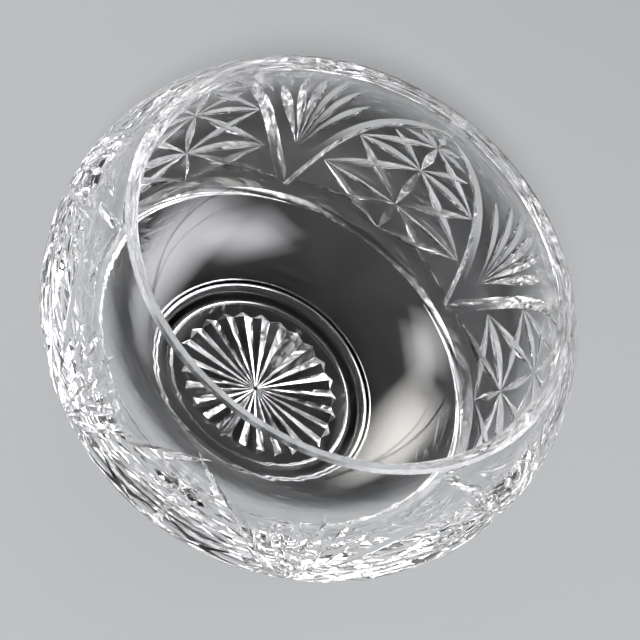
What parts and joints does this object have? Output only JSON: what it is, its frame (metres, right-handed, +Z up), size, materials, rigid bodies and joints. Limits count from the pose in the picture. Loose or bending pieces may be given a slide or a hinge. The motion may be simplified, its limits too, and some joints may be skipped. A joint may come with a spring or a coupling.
{
  "type": "rose bowl",
  "caption": "Round clear crystal rose bowl with an in-curved mouth, wheel-cut arched lattice panels and fans on the wall, and a star-cut base.",
  "frame": {"origin": "centre of the flat ring under the foot that the bowl rests on", "axes": "+Z up along the axis of the bowl, +Y through the middle of one arched panel"},
  "size_m": [0.2014, 0.2016, 0.1154],
  "materials": {
    "crystal": "clear lead crystal, polished, with bright wheel-cut facets"
  },
  "bodies": {
    "root": {"bowl": "crystal"}
  },
  "joints": []
}
